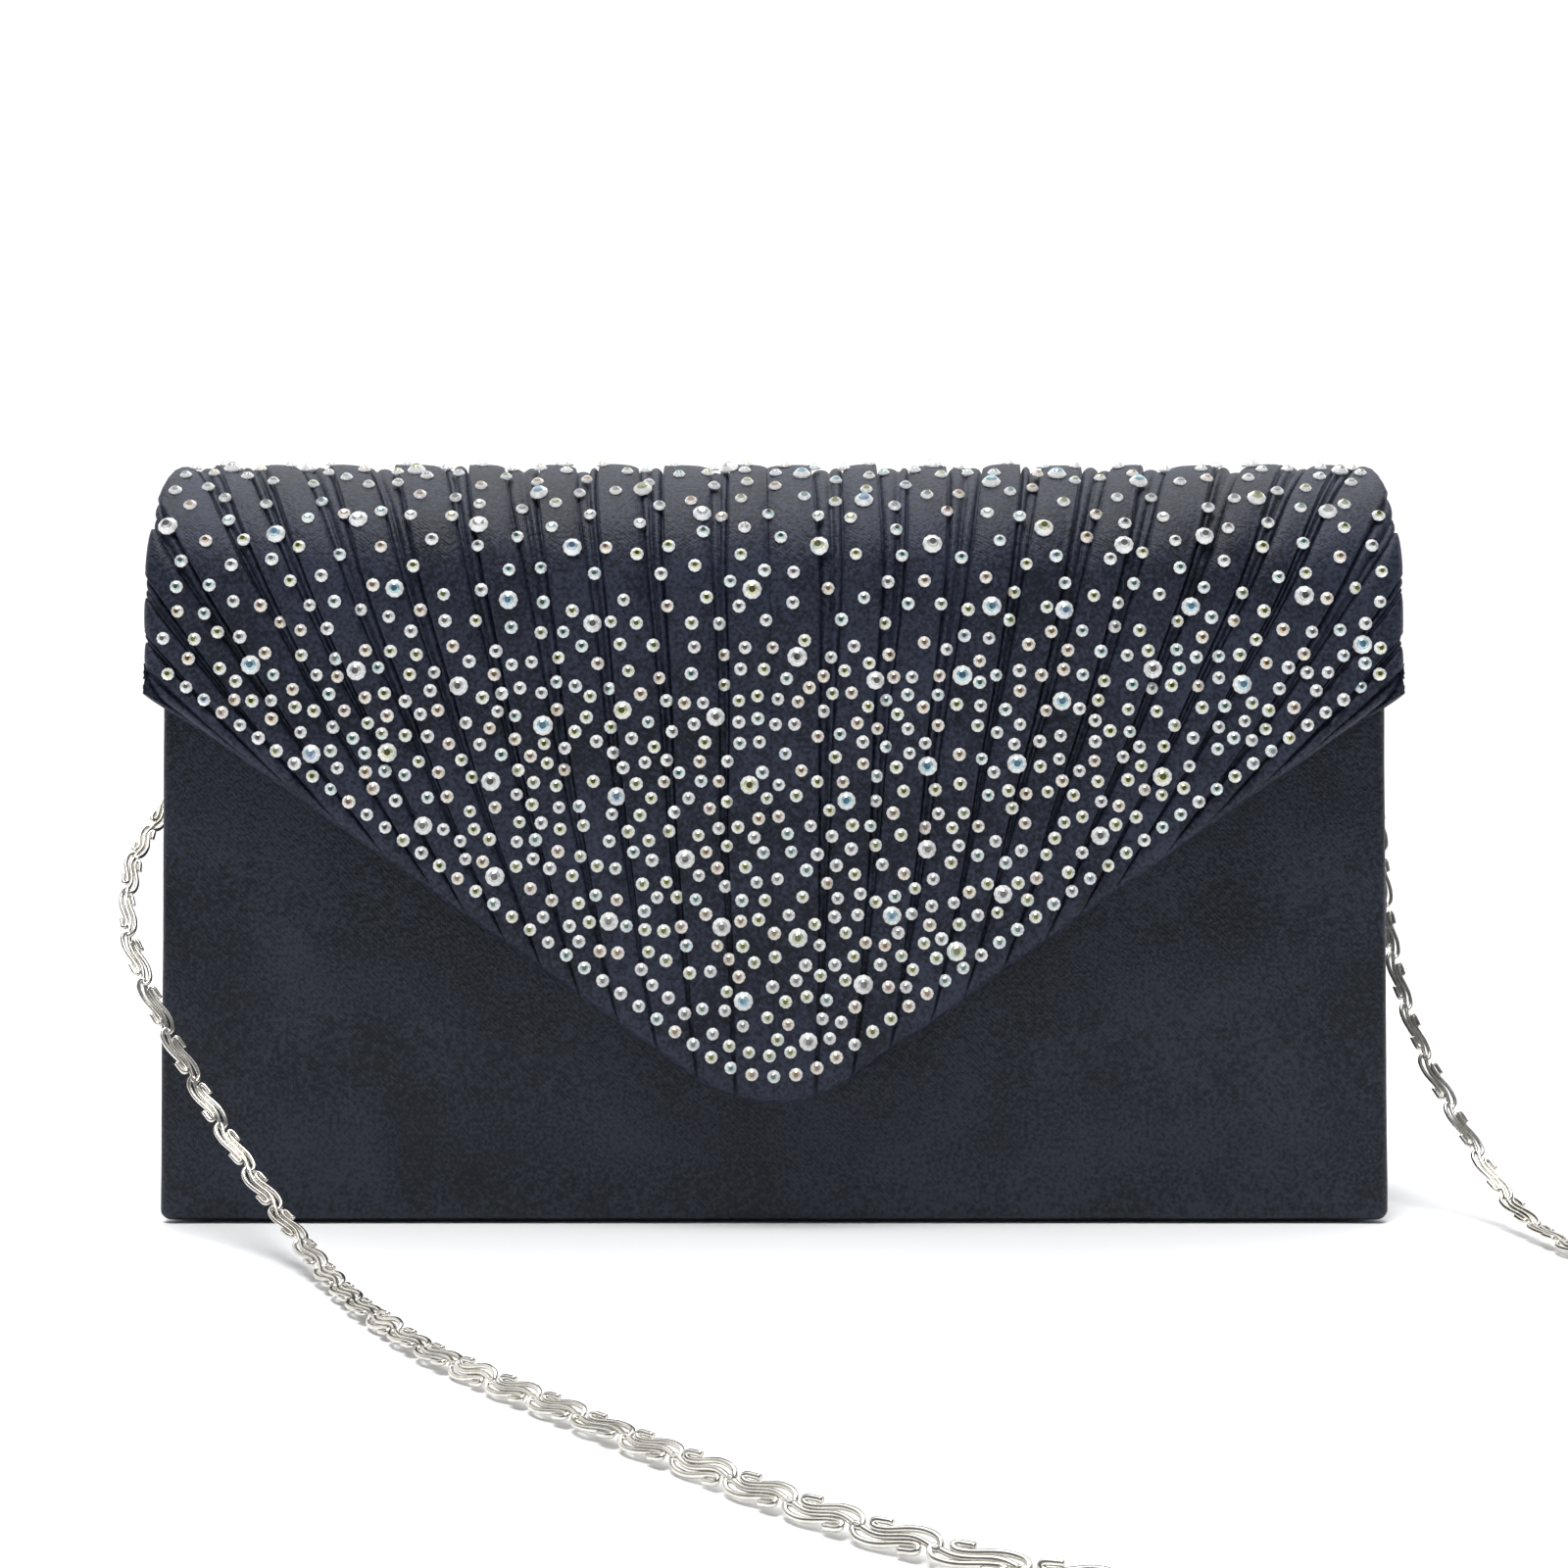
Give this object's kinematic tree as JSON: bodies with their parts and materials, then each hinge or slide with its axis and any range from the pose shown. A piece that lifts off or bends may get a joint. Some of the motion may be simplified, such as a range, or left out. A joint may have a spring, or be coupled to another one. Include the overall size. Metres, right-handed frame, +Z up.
{
  "type": "evening bag",
  "caption": "Boxed satin evening bag with a pleated, crystal-set V flap, magnetic snap, folded side gussets and a clip-on scroll-link chain strap.",
  "frame": {"origin": "centre of the flat face that the bag stands on, at the middle of its base", "axes": "+X to the right as the flap is faced, the front and the flap towards -Y, +Z up"},
  "size_m": [0.2616, 0.2312, 0.1331],
  "materials": {
    "satin": "dark navy-black polyester satin",
    "pleated_satin": "dark navy-black satin, hand pleated",
    "lining": "black woven lining",
    "board": "bonded fibreboard",
    "padding": "thin foam padding",
    "nickel": "polished nickel plate",
    "snap_metal": "nickel-plated magnetic snap",
    "crystal": "faceted crystal with an aurora borealis coat"
  },
  "bodies": {
    "root": {"base_board": "board", "base_cover": "satin", "base_lining": "lining", "back_board": "board", "back_cover": "satin", "back_lining": "lining", "inner_pocket": "lining", "gusset_left": "satin", "gusset_right": "satin", "gusset_lining_left": "lining", "gusset_lining_right": "lining", "hinge_strip": "satin", "ring_tab_left": "satin", "ring_tab_right": "satin", "clasp_body_left": "nickel", "clasp_body_right": "nickel", "clasp_pin_left": "nickel", "clasp_pin_right": "nickel", "jump_ring_left": "nickel", "jump_ring_right": "nickel", "chain_left_run": "nickel", "chain_coil": "nickel", "chain_right_run": "nickel"},
    "front_panel": {"front_board": "board", "front_cover": "satin", "front_lining": "lining", "snap_socket": "snap_metal", "snap_socket_washer": "snap_metal"},
    "flap": {"flap_board": "board", "flap_padding": "padding", "flap_cover": "pleated_satin", "flap_lining": "lining", "snap_stud": "snap_metal", "snap_stud_washer": "snap_metal", "rhinestones_small": "crystal", "rhinestones_large": "crystal"},
    "d_ring_left": {"d_ring_left": "nickel"},
    "d_ring_right": {"d_ring_right": "nickel"},
    "clasp_gate_left": {"clasp_gate_left": "nickel"},
    "clasp_gate_right": {"clasp_gate_right": "nickel"}
  },
  "joints": [
    {"name": "flap_hinge", "type": "hinge", "parent": "root", "child": "flap", "pos_m": [0, 0.023, 0.107], "axis": [-1, 0, 0], "range_deg": [0, 180]},
    {"name": "mouth_tilt", "type": "hinge", "parent": "root", "child": "front_panel", "pos_m": [0, -0.025, 0], "axis": [1, 0, 0], "range_deg": [0, 6]},
    {"name": "ring_swing_left", "type": "hinge", "parent": "root", "child": "d_ring_left", "pos_m": [-0.0985, 0, 0.097], "axis": [0, 1, 0], "range_deg": [-6, 6]},
    {"name": "ring_swing_right", "type": "hinge", "parent": "root", "child": "d_ring_right", "pos_m": [0.0985, 0, 0.097], "axis": [0, 1, 0], "range_deg": [-6, 6]},
    {"name": "gate_left", "type": "hinge", "parent": "root", "child": "clasp_gate_left", "pos_m": [-0.10515, 0, 0.08374], "axis": [0, 1, 0], "range_deg": [0, 18], "stiffness_Nm_per_rad": 0.004},
    {"name": "gate_right", "type": "hinge", "parent": "root", "child": "clasp_gate_right", "pos_m": [0.10515, 0, 0.08374], "axis": [0, -1, 0], "range_deg": [0, 18], "stiffness_Nm_per_rad": 0.004}
  ],
  "couplings": [
    {"joint": "mouth_tilt", "follows": "flap_hinge", "ratio": 0.033333}
  ]
}
